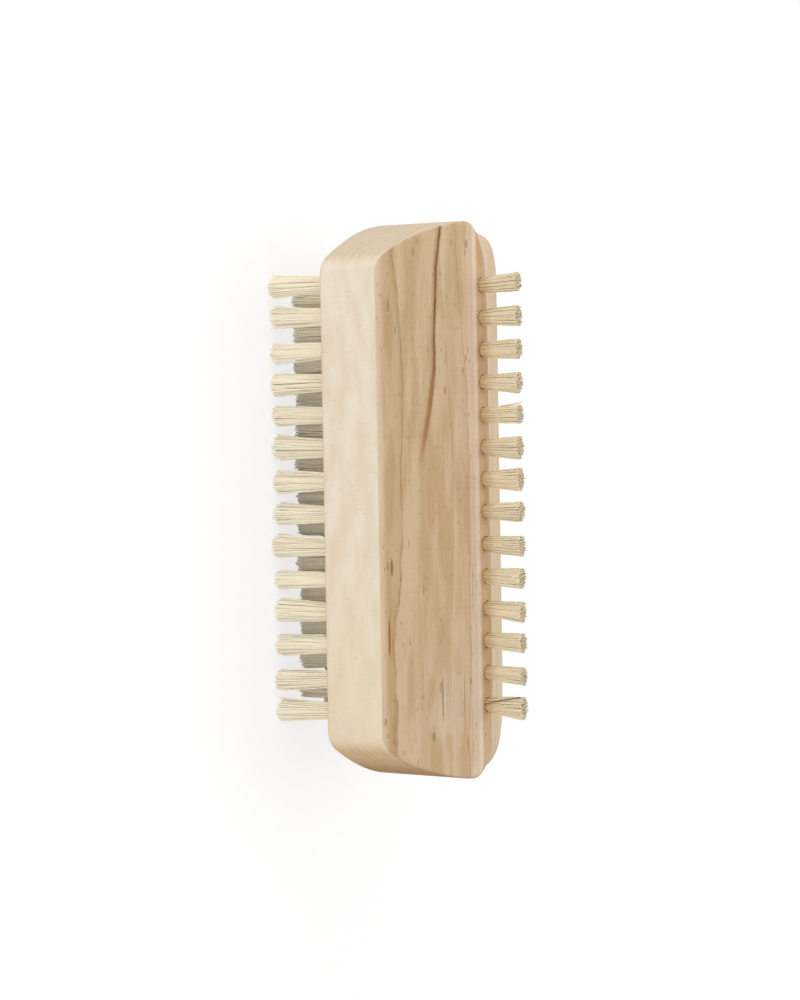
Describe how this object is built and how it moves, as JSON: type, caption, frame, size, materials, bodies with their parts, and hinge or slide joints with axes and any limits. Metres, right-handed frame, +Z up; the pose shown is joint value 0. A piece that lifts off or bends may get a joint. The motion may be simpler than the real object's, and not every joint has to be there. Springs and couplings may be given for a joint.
{
  "type": "nail brush",
  "caption": "Two-sided wooden nail brush with a roof-shaped body, a single row of short fibre tufts on the crest and a wide field of longer tufts underneath.",
  "frame": {"origin": "middle of the brush's footprint, on the plane that the trimmed scrub bristles stand on", "axes": "+Z up from the scrub bristles to the nail row, X along the length, -Y towards the front side that the picture shows"},
  "size_m": [0.095, 0.04, 0.0408],
  "materials": {
    "beech": "bare, finely sanded, edges eased",
    "nail_fibre": "stiff pale plant fibre, cut ends",
    "scrub_fibre": "stiff pale plant fibre, cut ends",
    "anchor_wire": "flat tinned wire, cut"
  },
  "bodies": {
    "root": {"wood_body": "beech", "nail_anchors": "anchor_wire", "scrub_anchors": "anchor_wire", "nail_tuft_01": "nail_fibre", "nail_tuft_02": "nail_fibre", "nail_tuft_03": "nail_fibre", "nail_tuft_04": "nail_fibre", "nail_tuft_05": "nail_fibre", "nail_tuft_06": "nail_fibre", "nail_tuft_07": "nail_fibre", "nail_tuft_08": "nail_fibre", "nail_tuft_09": "nail_fibre", "nail_tuft_10": "nail_fibre", "nail_tuft_11": "nail_fibre", "nail_tuft_12": "nail_fibre", "nail_tuft_13": "nail_fibre", "nail_tuft_14": "nail_fibre", "scrub_line_01": "scrub_fibre", "scrub_line_02": "scrub_fibre", "scrub_line_03": "scrub_fibre", "scrub_line_04": "scrub_fibre", "scrub_line_05": "scrub_fibre", "scrub_line_06": "scrub_fibre", "scrub_line_07": "scrub_fibre", "scrub_line_08": "scrub_fibre", "scrub_line_09": "scrub_fibre", "scrub_line_10": "scrub_fibre", "scrub_line_11": "scrub_fibre", "scrub_line_12": "scrub_fibre", "scrub_line_13": "scrub_fibre", "scrub_line_14": "scrub_fibre", "scrub_line_15": "scrub_fibre", "scrub_line_16": "scrub_fibre", "scrub_line_17": "scrub_fibre", "scrub_line_18": "scrub_fibre", "scrub_line_19": "scrub_fibre", "scrub_line_20": "scrub_fibre", "scrub_line_21": "scrub_fibre", "scrub_line_22": "scrub_fibre", "scrub_line_23": "scrub_fibre", "scrub_line_24": "scrub_fibre", "scrub_line_25": "scrub_fibre", "scrub_line_26": "scrub_fibre", "scrub_line_27": "scrub_fibre"}
  },
  "joints": []
}
